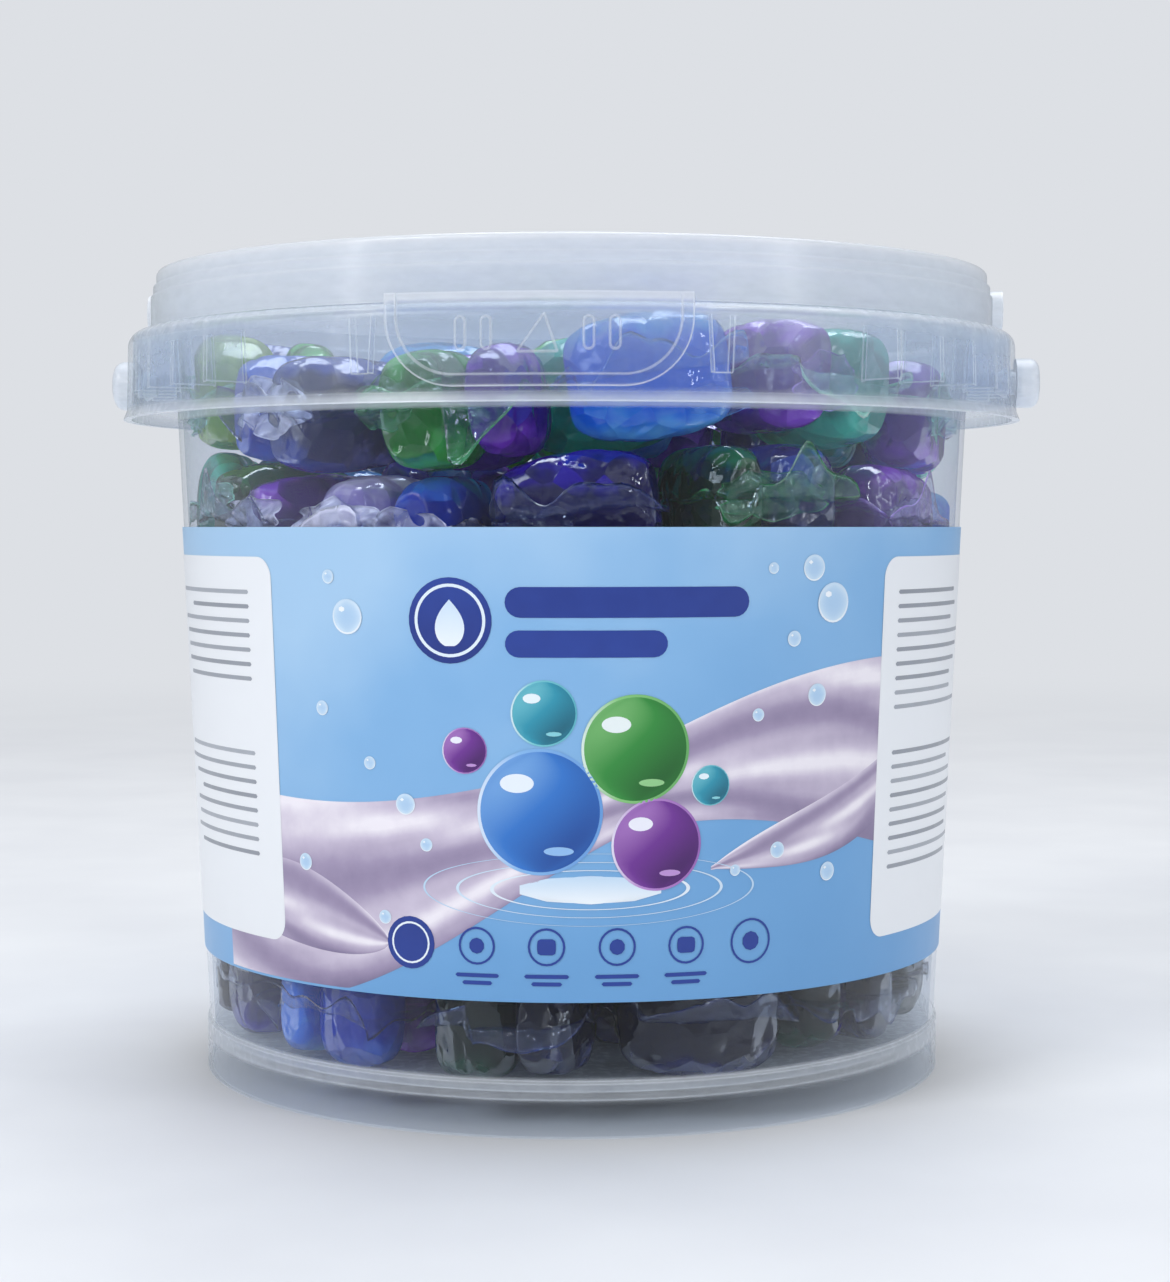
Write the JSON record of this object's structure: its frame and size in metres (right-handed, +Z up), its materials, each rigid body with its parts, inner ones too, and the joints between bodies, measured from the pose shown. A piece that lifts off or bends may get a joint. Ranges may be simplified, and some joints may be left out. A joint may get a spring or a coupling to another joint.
{
  "type": "laundry pod tub",
  "caption": "Round translucent lidded tub filled with coloured laundry gel pods, with a wrap-around label, a pull tab on the lid and a swinging bail handle.",
  "frame": {"origin": "middle of the foot, where the tub stands", "axes": "+Z up along the tub's axis, -Y out of the pull tab at the front, X along the bail handle's pivots"},
  "size_m": [0.2394, 0.2352, 0.201],
  "materials": {
    "clear_plastic": "translucent natural polypropylene, satin",
    "white_plastic": "milky white polypropylene, satin",
    "printed_film": "printed film, satin, sky blue with pale lavender waves and blank white panels",
    "blue_gel": "blue liquid gel under clear water-soluble film, glossy",
    "teal_gel": "teal liquid gel under clear water-soluble film, glossy",
    "purple_gel": "purple liquid gel under clear water-soluble film, glossy",
    "navy_gel": "navy liquid gel under clear water-soluble film, glossy",
    "green_gel": "green liquid gel under clear water-soluble film, glossy"
  },
  "bodies": {
    "tub_body": {"tub": "clear_plastic", "wrap_label": "printed_film", "blue_pods_layer_1": "blue_gel", "blue_pods_layer_2": "blue_gel", "blue_pods_layer_3": "blue_gel", "blue_pods_layer_4": "blue_gel", "blue_pods_layer_5": "blue_gel", "blue_pods_layer_6": "blue_gel", "green_pods_layer_1": "green_gel", "green_pods_layer_2": "green_gel", "green_pods_layer_3": "green_gel", "green_pods_layer_4": "green_gel", "green_pods_layer_5": "green_gel", "green_pods_layer_6": "green_gel", "navy_pods_layer_1": "navy_gel", "navy_pods_layer_2": "navy_gel", "navy_pods_layer_3": "navy_gel", "navy_pods_layer_4": "navy_gel", "navy_pods_layer_5": "navy_gel", "navy_pods_layer_6": "navy_gel", "purple_pods_layer_1": "purple_gel", "purple_pods_layer_2": "purple_gel", "purple_pods_layer_3": "purple_gel", "purple_pods_layer_4": "purple_gel", "purple_pods_layer_5": "purple_gel", "purple_pods_layer_6": "purple_gel", "teal_pods_layer_1": "teal_gel", "teal_pods_layer_2": "teal_gel", "teal_pods_layer_3": "teal_gel", "teal_pods_layer_4": "teal_gel", "teal_pods_layer_5": "teal_gel", "teal_pods_layer_6": "teal_gel"},
    "lid_body": {"lid": "clear_plastic"},
    "bail_body": {"bail_handle": "white_plastic"}
  },
  "joints": [
    {"name": "lid_lift", "type": "slide", "parent": "tub_body", "child": "lid_body", "axis": [0, 0, 1], "range_m": [0, 0.06]},
    {"name": "bail_swing", "type": "hinge", "parent": "tub_body", "child": "bail_body", "pos_m": [0, 0, 0.174], "axis": [1, 0, 0], "range_deg": [-28, 208]}
  ]
}
